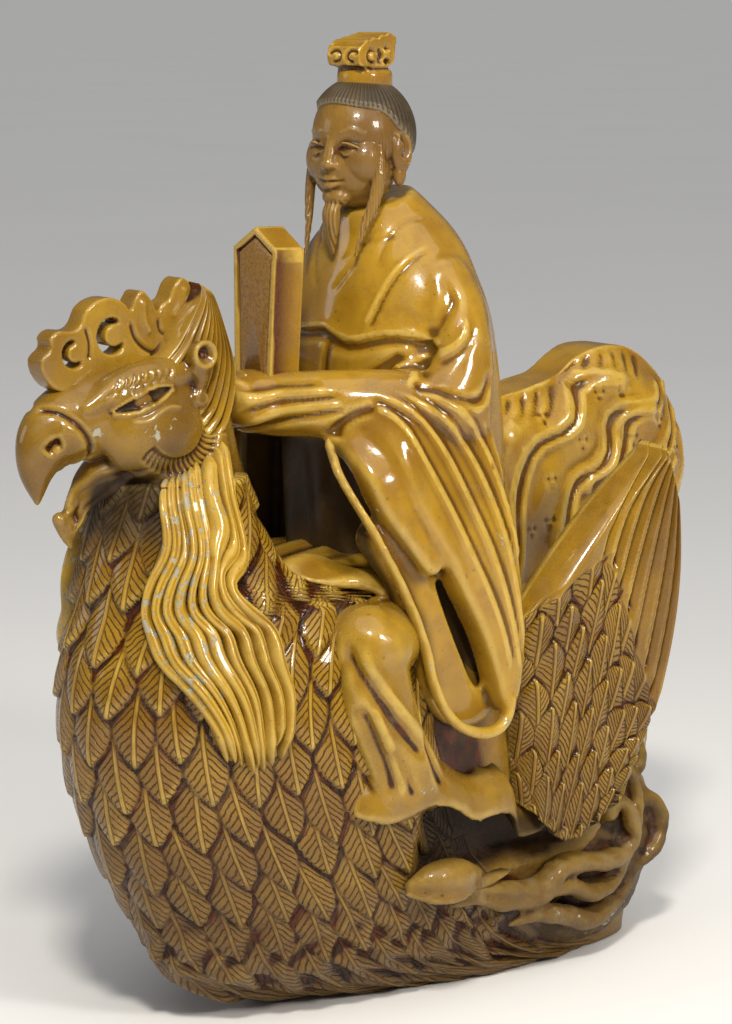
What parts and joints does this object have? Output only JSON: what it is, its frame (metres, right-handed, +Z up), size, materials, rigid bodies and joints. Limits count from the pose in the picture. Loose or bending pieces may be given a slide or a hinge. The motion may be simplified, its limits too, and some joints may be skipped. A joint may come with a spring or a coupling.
{
  "type": "roof ridge figure",
  "caption": "Glazed roof ridge figure: a robed rider holding an upright tablet, seated on a phoenix with raised wings and tail.",
  "frame": {"origin": "on the flat underside, in the middle of the width, under the rider", "axes": "+Z up, -Y the way the phoenix faces, +X to the phoenix's left"},
  "size_m": [0.1672, 0.3488, 0.4],
  "materials": {
    "yellow_glaze": "thick glossy amber yellow lead glaze over buff earthenware, darker where it pools",
    "brown_glaze": "thin semi-gloss brown glaze over clay, dark grey on the hair"
  },
  "bodies": {
    "root": {"glazed_figure": "yellow_glaze", "rider_head": "brown_glaze"}
  },
  "joints": []
}
